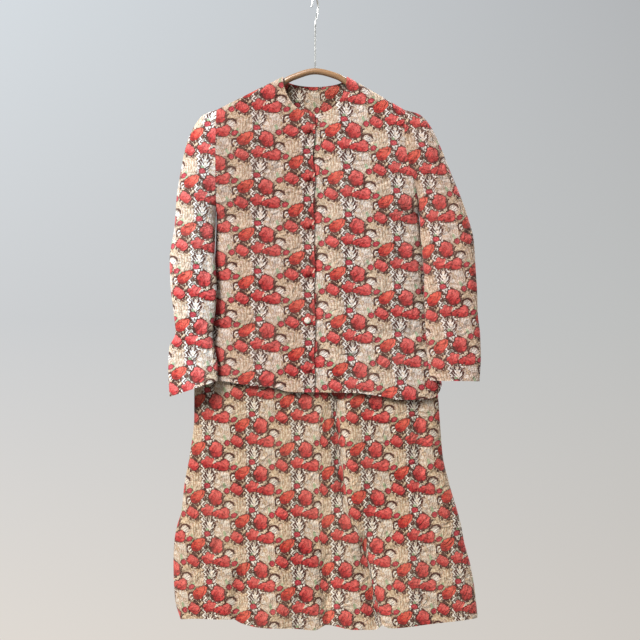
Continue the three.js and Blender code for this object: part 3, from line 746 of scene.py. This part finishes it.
    # Pale sepals that spread from the upper bud
    x, y = groups["c"]
    sx = (x + 1.0).abs()
    rise = (sx * 0.9 + y - 57.5).abs().below(1.5, 0.7) * sx.below(11.0, 1.0)
    ground = s.mix(rise * (y - 39.0).op("ADD", 0.0, clamp=True), ground, WHITE)

    for group, dx, dy, wide, high, tilt in LEAF_SPOTS:
        _, _, r = oval(*groups[group], (dx, dy), (wide, high), tilt)
        ground = s.mix(r.below(1.0, 0.3) * 0.8, ground, GREEN)

    # Buds, then blossoms: ragged petals, darker below and to the left, each with its lines
    for group, dx, dy, wide, high, tilt in BUDS:
        p, q, r = oval(*groups[group], (dx, dy), (wide, high), tilt)
        ground = s.mix(r.below(1.25, 0.12), ground, BROWN)
        ground = s.mix(r.below(1.0, 0.1), ground, MAGENTA)
        petal = (r * 9.0 + p * 3.0).op("SINE").ramp(4.0, -2.6)
        ground = s.mix(petal * r.below(0.9, 0.1), ground, CORAL_LIGHT)

    for number, (group, dx, dy, wide, high, tilt, petals, cut, fill, light) in enumerate(BLOSSOMS):
        gx, gy = groups[group]
        shade = s.noise(s.vector(gx * 0.19, gy * 0.19, 1.7 * number), 1.0, 3.0, 0.6, 0.8)
        fray = s.fac(shade)
        p, q, r = oval(gx, gy, (dx, dy), (wide, high), tilt)
        angle = q.op("ARCTAN2", p)
        lobes = (angle * float(petals) + 0.9 * number).op("COSINE") * cut
        edge = r - lobes + (fray - 0.5) * 0.55
        low = ((gy - dy) * 0.05 - (gx - dx) * 0.02) + fray * 2.2 - 1.15
        ground = s.mix(edge.below(1.12, 0.06) * 0.85, ground, DEEP)
        ground = s.mix(edge.below(1.05, 0.06), ground, LINE)
        petal = s.mix(low.ramp(-2.2, 0.45), fill, light)
        petal = s.mix(low.ramp(2.2, -0.5) * 0.75, petal, LINE)
        folds = (angle * float(petals) * 0.5 + r * 4.0 + number).op("SINE").abs().below(0.22, 0.2)
        rings = (edge * 11.0 + (angle * 2.0).op("SINE") * 1.4).op("SINE").ramp(4.0, -3.0)
        petal = s.mix((folds + rings * 0.7) * (fray * 2.0) * 0.7, petal, LINE)
        ground = s.mix(edge.below(0.98, 0.06), ground, petal)

    # A pale stem that hooks between the middle blossom and the one on its right
    x, y = groups["b"]
    _, _, r = oval(x, y, (19, 1), (7, 7), 0)
    stem = (r - 1.0).abs().below(0.16, 0.08) * (y + 1.0 + (x - 19.0) * 0.5).below(0.0, 2.0)
    ground = s.mix(stem, ground, CREAM)

    # Cloth: slight uneven fading, weave and crumple
    plain = s.vector(across, along)
    fading = s.noise(plain, 7.0, 2.0)
    ground = s.mix(s.fac(fading).ramp(1.6, -0.55) * 0.12, ground, CREAM)
    warp = (across * THREADS).op("SINE")
    weft = (along * THREADS).op("SINE")
    weave = warp * weft
    ground = s.mix(weave.op("MULTIPLY_ADD", 0.06, 0.06), ground, (0.02, 0.015, 0.012, 1))
    s.feed("Base Color", s.mix(1.0, ground, tone.outputs[0], "MULTIPLY"))
    rough = s.fac(fading).op("MULTIPLY_ADD", 0.16, 0.76)
    s.feed("Roughness", rough)
    s.set("Specular IOR Level", 0.1)
    s.set("Sheen Weight", 0.04)
    s.set("Sheen Roughness", 0.6)
    crumple = s.noise(plain, 34.0, 4.0, 0.55, 0.5)
    sharp = (s.fac(crumple) - 0.5).abs()
    fine = s.noise(plain, 120.0, 2.0, 0.5, 0.2)
    normal = s.bump(sharp * -1.0 + s.fac(fine) * 0.16, 0.9, 0.014)
    normal = s.bump(weave, 0.25, 0.00012, normal)
    s.feed("Normal", normal)
    return s.material


PATTERN = draw_print()


# The print laid so that one unit's middle is at (right, down), in millimetres
def print_material(name, right, down, unit_wide=UNIT_WIDE, tone=(1.0, 1.0, 1.0)):
    material = PATTERN.copy()
    material.name = name
    nodes = material.node_tree.nodes
    for knob, value in (("right", right), ("down", down), ("unit_wide", unit_wide)):
        nodes[knob].outputs[0].default_value = value
    nodes["tone"].outputs[0].default_value = (*tone, 1)
    return material


def wood_material():
    s = Shader("varnished_wood")
    place = s.node("ShaderNodeTexCoord")
    stretch = s.node("ShaderNodeMapping")
    stretch.inputs["Scale"].default_value = (6, 60, 60)
    s.link(place.outputs["Object"], stretch.inputs[0])
    grain = s.noise(stretch.outputs[0], 4.0, 6.0, 0.6, 0.8)
    rings = s.node("ShaderNodeTexWave", wave_type="BANDS", bands_direction="Z")
    rings.inputs["Scale"].default_value = 1.4
    rings.inputs["Distortion"].default_value = 5.0
    s.link(stretch.outputs[0], rings.inputs["Vector"])
    base = s.mix(s.fac(grain), dye(206, 160, 110), dye(160, 114, 70))
    base = s.mix(s.fac(rings) * 0.35, base, dye(136, 92, 54))
    s.feed("Base Color", base)
    s.feed("Roughness", s.fac(grain).op("MULTIPLY_ADD", 0.3, 0.25))
    s.set("Coat Weight", 0.3)
    s.set("Coat Roughness", 0.2)
    s.feed("Normal", s.bump(grain.outputs["Fac"], 0.3, 0.0004))
    return s.material


def wire_material():
    s = Shader("bright_wire")
    place = s.node("ShaderNodeTexCoord")
    scuffs = s.noise(place.outputs["Object"], 160.0, 5.0, 0.6)
    dull = s.fac(scuffs).below(0.42, 0.08) * 0.5
    base = s.mix(dull, colour(196, 196, 192), colour(120, 116, 108))
    s.feed("Base Color", base)
    s.set("Metallic", 1.0)
    s.feed("Roughness", s.fac(scuffs).op("MULTIPLY_ADD", 0.4, 0.08))
    s.feed("Normal", s.bump(scuffs.outputs["Fac"], 0.2, 0.0002))
    return s.material


def finish_piece(piece, material, slot, *nodes):
    piece.data.materials.append(material)
    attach(piece, "root")
    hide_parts(*nodes)
    return piece


# A panel from side to side
def whole_panel(name, node, body, front, hem, folds, creases, stops, spacing, sleeve,
                material, slot, takes=()):
    grid = panel_grid(body, front, hem, folds, creases, stops, spacing, crowd_ends)
    middle = int(np.argmin(np.abs(stops)))
    uv = cloth_uv(grid, (0, 0, -1), middle)
    uv[..., 0] += grid[middle, :, 0][None, :] * MM
    uv[..., 0] += taken(takes, grid[..., 0], grid[..., 2]) * MM
    keep = seam_rule(body, grid, True, True, sleeve)
    piece = cloth_wall(name, grid, uv, flip=not front, keep_off=keep)
    return finish_piece(piece, material, slot, node)


# Dress
dress_print = print_material("dress_print", -38.0, 1006.0)
dress_crumples = crumples(11, (-300, 340, -1350, -830), 170, 85, 1.5)
back_crumples = crumples(12, (-300, 340, -1350, -250), 130, 95, 1.5)
dress_front = whole_panel(
    "dress_front_cloth", "dress_front", dress, True, DRESS_FRONT_HEM, DRESS_FRONT_FOLDS,
    DRESS_FRONT_CREASES + dress_crumples, whole_stops(dress, 22, 34), 5.4, False, dress_print, "dress_cloth",
    DRESS_FRONT_TAKES,
)
dress_back = whole_panel(
    "dress_back_cloth", "dress_back", dress, False, DRESS_BACK_HEM, DRESS_BACK_FOLDS,
    DRESS_BACK_CREASES + back_crumples, whole_stops(dress, 18, 26), 6.4, False, dress_print, "dress_cloth",
)

# Jacket: its cloth is a little cooler than the dress, most of all the front on the viewer's right, and
# the sleeve on the viewer's left is painted paler, a painted highlight for the stronger light on it
JACKET_TONE = (1.03, 1.06, 1.16)
WARM_TONE = (0.99, 0.97, 1.05)
COOL_TONE = (1.09, 1.13, 1.25)
# Painted highlight: a lit, paler and whiter copy of the print for the sleeve on the viewer's left; the fifth
# button also takes it for its pale cloth
PALE_CLOTH_AND_PAINTED_LIGHT_TONE = (1.42, 1.62, 1.92)
front_creases = JACKET_FRONT_CREASES + crumples(21, (-270, 280, -860, -250), 170, 75, 1.5)
jacket_back_crumples = crumples(22, (-270, 280, -850, -210), 130, 80, 1.5)


def edge_wave(t, z):
    # The lapping edge draws back a little between its buttons
    beat = (1 - np.cos(2 * np.pi * (z - BUTTON_TOP) / BUTTON_SPACING)) / 2
    drawn = -4.5 * beat * (0.6 + 0.4 * np.sin(z / 90.0)) + 1.0 * np.sin(z / 23.0 + 1.0)
    return smoothstep(t, 0.75, 1.0) * drawn


def front_right():
    stops = shoulder_stops(jacket.left_tip, 18, 22)
    grid = panel_grid(jacket, True, JACKET_FRONT_HEM, JACKET_FRONT_FOLDS, front_creases,
                      stops, 5.0, lambda t: t ** CROWDING, wave=edge_wave, end=lambda z: 0.0 * z)
    uv = cloth_uv(grid, (0, 0, -1), len(grid) - 1)
    keep = seam_rule(jacket, grid, True, False, True)
    piece = cloth_wall("jacket_front_right_cloth", grid, uv, keep_off=keep)
    material = print_material("jacket_right_print", -122.0, 441.0, 108.0, WARM_TONE)
    return finish_piece(piece, material, "jacket_cloth", "jacket_front_right"), grid


def front_left():
    inner = shoulder_stops(jacket.right_tip, 18, 22)[::-1]
    stops = np.concatenate([np.linspace(-OVERLAP, 0, UNDERLAP_COLUMNS + 1)[:-1], inner])
    grid = panel_grid(jacket, True, JACKET_FRONT_HEM, JACKET_FRONT_FOLDS, front_creases,
                      stops, 5.0, lambda t: 1 - (1 - t) ** CROWDING, start=lambda z: 0.0 * z - OVERLAP,
                      inset=lambda x: UNDERLAP_STEP * (1 - smoothstep(x, *UNDERLAP_FADE)))
    uv = cloth_uv(grid, (0, 0, -1), UNDERLAP_COLUMNS)
    keep = seam_rule(jacket, grid, False, True, True)
    piece = cloth_wall("jacket_front_left_cloth", grid, uv, keep_off=keep)
    material = print_material("jacket_left_print", 167.0, 474.0, 105.0, COOL_TONE)
    return finish_piece(piece, material, "jacket_cloth", "jacket_front_left")


jacket_right, lap_grid = front_right()
jacket_left = front_left()
jacket_back = whole_panel(
    "jacket_back_cloth", "jacket_back", jacket, False, JACKET_BACK_HEM, JACKET_BACK_FOLDS,
    JACKET_BACK_CREASES + jacket_back_crumples, whole_stops(jacket, 16, 22), 6.0, True,
    print_material("jacket_back_print", 14.0, 430.0, 105.0, JACKET_TONE), "jacket_cloth",
)


# Sleeves: rings blended smoothly from the armhole to the cuff
def sleeve(name, node, rings, creases, seed, viewers_left, tilt, phase, material_name, tone):
    side = -1 if viewers_left else 1
    edge = jacket.left if viewers_left else jacket.right
    around = np.linspace(0, 2 * np.pi, 104, endpoint=False)
    share = (1 - np.cos(around)) / 2
    front = np.sin(around)
    z = SHOULDER_TIP + (jacket.underarm - SHOULDER_TIP) * share
    first = jacket.place(edge(z), z, False)
    x = first[:, 0] + side * (SEAM_GAP + WALL * share ** 8)
    y = -first[:, 1] * np.sign(front) * (np.abs(front) > 1e-6)
    stack = [np.stack([x, y, z], -1)]
    for out_x, out_z, in_x, in_z, forward, deep in rings:
        stack.append(np.stack([
            out_x + (in_x - out_x) * share, -forward - deep * front, out_z + (in_z - out_z) * share,
        ], -1))
    stack = np.array(stack)
    reach = np.linalg.norm(np.diff(stack, axis=0), axis=-1).mean(axis=1)
    along = np.concatenate([[0], np.cumsum(reach)])
    count = int(along[-1] / 4.6)
    at = np.linspace(0, along[-1], count + 1)
    flat = through(along, stack.reshape(len(stack), -1))(at).reshape(count + 1, len(around), 3)
    grid = flat.transpose(1, 0, 2).copy()
    box = (grid[..., 0].min(), grid[..., 0].max(), grid[..., 2].min(), grid[..., 2].max())
    quiet = smoothstep(at, 0, 26)[None, :]
    for sign, shift in ((1, 0), (-1, 1)):
        half = np.clip(sign * front, 0, 1)[:, None]
        rows = creases + crumples(seed + shift, box, 90, 70, 1.1)
        grid[..., 1] += sign * np.sqrt(half) * quiet * sink(rows, grid[..., 0], grid[..., 2], wander=2.5)
    axis = (math.sin(math.radians(tilt)) * side, 0, -math.cos(math.radians(tilt)))
    uv = cloth_uv(grid, axis, len(around) // 4)
    quarter = grid[len(around) // 4]
    uv[..., 0] = -uv[..., 0] * side + (quarter[:, 0] * -axis[2] + quarter[:, 2] * axis[0])[None, :] * MM
    mask = np.zeros(grid.shape[:2], bool)
    mask[:, 0] = True
    piece = cloth_wall(name, grid, uv, closed=True, flip=not viewers_left, keep_off=[(mask, 0)])
    return finish_piece(piece, print_material(material_name, *phase, 100.0, tone), "jacket_cloth", node)


def along_axis(x, z, tilt, side):
    # A picture place as distances across and down a tilted axis
    sin, cos = math.sin(math.radians(tilt)) * side, math.cos(math.radians(tilt))
    return x * cos + z * sin, x * sin - z * cos


RIGHT_TILT = 3.5
LEFT_TILT = 8.0
# The sleeve on the viewer's left is painted paler: a painted highlight carried in its print's tone
sleeve_right = sleeve(
    "sleeve_right_cloth", "sleeve_right", RIGHT_SLEEVE_RINGS, RIGHT_SLEEVE_CREASES, 31, True, RIGHT_TILT,
    along_axis(-245, -432, RIGHT_TILT, -1), "sleeve_right_print_painted_light", PALE_CLOTH_AND_PAINTED_LIGHT_TONE,
)
sleeve_left = sleeve(
    "sleeve_left_cloth", "sleeve_left", LEFT_SLEEVE_RINGS, LEFT_SLEEVE_CREASES, 41, False, LEFT_TILT,
    along_axis(253, -476, LEFT_TILT, 1), "sleeve_left_print", WARM_TONE,
)


# Faces between rings of points, with both ends closed
def ring_faces(sides, rings):
    faces = []
    for ring in range(rings - 1):
        for i in range(sides):
            j = (i + 1) % sides
            faces.append((ring * sides + i, ring * sides + j, (ring + 1) * sides + j, (ring + 1) * sides + i))
    faces.append(tuple(range(sides))[::-1])
    faces.append(tuple((rings - 1) * sides + i for i in range(sides)))
    return faces


# Covered buttons: a soft dome whose cloth is drawn in round its edge
def button(number, z, material):
    sides, rings = COVER_SIDES, COVER_RINGS
    beside = np.abs(lap_grid[..., 0] - BUTTON_X) < 1.8 * BUTTON_RADIUS
    level = np.abs(lap_grid[..., 2] - z) < BUTTON_RADIUS
    back = lap_grid[..., 1][beside & level].min() - WALL / 2 - 0.1
    points = []
    for ring in range(rings):
        t = ring / (rings - 1)
        if t < RIM_SHARE:
            swell = math.sin(t / RIM_SHARE * math.pi / 2)
            radius = BUTTON_RADIUS * (BACK_SHARE + (1 - BACK_SHARE) * swell)
            height = RIM_HEIGHT * t / RIM_SHARE
        else:
            turn = (t - RIM_SHARE) / (1 - RIM_SHARE) * math.pi / 2
            radius = BUTTON_RADIUS * math.cos(turn) ** 0.9
            height = RIM_HEIGHT + (BUTTON_HEIGHT - RIM_HEIGHT) * math.sin(turn)
        for i in range(sides):
            angle = 2 * math.pi * i / sides
            pleat = 1 + 0.03 * math.cos(angle * 12) * (1 - t) ** 2
            out = radius * pleat
            points.append((BUTTON_X + out * math.cos(angle), back - height, z + out * math.sin(angle)))
    faces = ring_faces(sides, rings)
    points = np.array(points)
    loops = [(points[v][0] * MM, -points[v][2] * MM) for face in faces for v in face]
    piece = make_mesh(f"button_{number}_cover", points * MM, faces, loops)
    return finish_piece(piece, material, "button_cloth", f"button_{number}")


# All but the fifth lie on the same place of the print as the cloth behind them
button_print = print_material("button_print", -122.0, 441.0, 108.0)
pale_button_print = print_material("pale_button_print", -50.0, 660.0, 97.0, PALE_CLOTH_AND_PAINTED_LIGHT_TONE)
for i in range(BUTTON_COUNT):
    button(i + 1, BUTTON_TOP - i * BUTTON_SPACING, pale_button_print if i == 4 else button_print)


# A round bar along a smooth line
def bar(name, stops, radius, sides, steps, material, slot, node):
    stops = np.array(stops, float)
    lengths = np.concatenate([[0], np.cumsum(np.linalg.norm(np.diff(stops, axis=0), axis=1))])
    path = through(lengths, stops)(np.linspace(0, lengths[-1], steps))
    tangent = np.gradient(path, axis=0)
    tangent /= np.linalg.norm(tangent, axis=1, keepdims=True)
    side = np.cross(tangent, [0, 1, 0.001])
    side /= np.linalg.norm(side, axis=1, keepdims=True)
    other = np.cross(side, tangent)
    angle = np.linspace(0, 2 * np.pi, sides, endpoint=False)
    ends = np.ones(steps)
    ends[[0, -1]] = 0.72
    ends[[1, -2]] = 0.94
    ring = np.cos(angle)[None, :, None] * side[:, None] + np.sin(angle)[None, :, None] * other[:, None]
    points = (path[:, None] + radius * ends[:, None, None] * ring).reshape(-1, 3)
    piece = make_mesh(name, points * MM, ring_faces(sides, steps))
    return finish_piece(piece, material, slot, node)


def hanger_stops():
    rows = []
    for x in HANGER_PLACES:
        tip = -dress.left_tip if x < 0 else dress.right_tip
        t = (abs(x) - NECK_HALF) / (tip - NECK_HALF)
        z = NECK_TOP + (SHOULDER_TIP - NECK_TOP) * t - LAYER_STEP - HANGER_DROP
        rows.append((x, 0, HANGER_PEAK if x == 0 else z))
    return rows


def hook_stops():
    rows = list(HOOK_NECK)
    for i in range(HOOK_ARC_STEPS + 1):
        angle = math.pi * i / HOOK_ARC_STEPS
        up = WIRE_RADIUS - HOOK_RADIUS + HOOK_RADIUS * math.sin(angle)
        rows.append((HOOK_RADIUS * math.cos(angle), up))
    rows.append(HOOK_TIP)
    return [(out * math.cos(HOOK_TURN), out * math.sin(HOOK_TURN), z) for out, z in rows]


bar("hanger_bar", hanger_stops(), HANGER_RADIUS, 28, 90, wood_material(), "hanger_wood", "hanger_arm")
bar("hook_wire", hook_stops(), WIRE_RADIUS, 16, 140, wire_material(), "hook_wire", "hook")


# Room, in metres: a pale floor, an even pale surround and soft lamps
FLOOR_Z = -1.72
FLOOR_RADIUS = 1.5
SENSOR = 36
CAMERA_AWAY = 3.2
FRONT_AWAY = 3.175
PICTURE_WIDTH = 1.376
PICTURE_MIDDLE = (0.01075, -0.69875)


def floor():
    sides, rings = 96, 24
    points = [(0.0, 0.0, FLOOR_Z)]
    for ring in range(1, rings + 1):
        for i in range(sides):
            angle = 2 * math.pi * i / sides
            out = FLOOR_RADIUS * ring / rings
            points.append((out * math.cos(angle), out * math.sin(angle), FLOOR_Z))
    faces = [(0, 1 + i, 1 + (i + 1) % sides) for i in range(sides)]
    for ring in range(rings - 1):
        a, b = 1 + ring * sides, 1 + (ring + 1) * sides
        faces += [(a + i, b + i, b + (i + 1) % sides, a + (i + 1) % sides) for i in range(sides)]
    s = Shader("pale_floor")
    place = s.node("ShaderNodeTexCoord")
    grain = s.noise(place.outputs["Object"], 9.0, 4.0)
    base = s.mix(s.fac(grain) * 0.1, colour(116, 115, 113), colour(108, 107, 105))
    s.feed("Base Color", base)
    s.set("Roughness", 0.7)
    piece = make_mesh("floor", np.array(points), faces)
    piece.data.materials.append(s.material)


def surround():
    world = bpy.data.worlds.new("surround")
    bpy.context.scene.world = world
    world.use_nodes = True
    tree = world.node_tree
    place = tree.nodes.new("ShaderNodeTexCoord")
    split = tree.nodes.new("ShaderNodeSeparateXYZ")
    tree.links.new(place.outputs["Generated"], split.inputs[0])
    across = Val(tree, split.outputs[0]).ramp(2.3, 0.5)
    down = Val(tree, split.outputs[2]).ramp(-2.4, 0.5)

    def column(tones):
        ramp = tree.nodes.new("ShaderNodeValToRGB")
        tree.links.new(down.socket, ramp.inputs[0])
        stops = ramp.color_ramp.elements
        stops.new(0.5)
        for stop, tone in zip(stops, tones):
            stop.color = colour(*tone)
        return ramp.outputs[0]

    mix = tree.nodes.new("ShaderNodeMix")
    mix.data_type = "RGBA"
    tree.links.new(across.socket, mix.inputs[0])
    tree.links.new(column([(215, 221, 226), (205, 207, 209), (224, 218, 211)]), mix.inputs[6])
    tree.links.new(column([(179, 181, 183), (190, 191, 190), (206, 201, 195)]), mix.inputs[7])
    tree.links.new(mix.outputs[2], tree.nodes["Background"].inputs["Color"])


def lamp(name, kind, place, size, power, tint):
    data = bpy.data.lights.new(name, kind)
    data.energy = power
    data.color = tint
    if kind == "SUN":
        data.angle = math.radians(size)
    else:
        data.size = size
    made = bpy.data.objects.new(name, data)
    made.location = place
    made.rotation_euler = (Vector((0, 0, -0.7)) - Vector(place)).to_track_quat("-Z", "Y").to_euler()
    bpy.context.scene.collection.objects.link(made)


def camera():
    data = bpy.data.cameras.new("camera")
    data.sensor_width = SENSOR
    data.lens = SENSOR * FRONT_AWAY / PICTURE_WIDTH
    made = bpy.data.objects.new("camera", data)
    made.location = (PICTURE_MIDDLE[0], -CAMERA_AWAY, PICTURE_MIDDLE[1])
    made.rotation_euler = (math.pi / 2, 0, 0)
    bpy.context.scene.collection.objects.link(made)
    bpy.context.scene.camera = made


floor()
surround()
lamp("window", "SUN", (-1.9, -2.0, 1.6), 26.0, 10.8, (1.0, 0.985, 0.97))
lamp("far_window", "SUN", (2.2, 1.9, 1.2), 30.0, 8.0, (0.98, 0.99, 1.0))
lamp("fill", "AREA", (2.6, -2.0, -0.4), 2.0, 18, (0.97, 0.98, 1.0))
camera()
bpy.context.scene.view_settings.view_transform = "Standard"
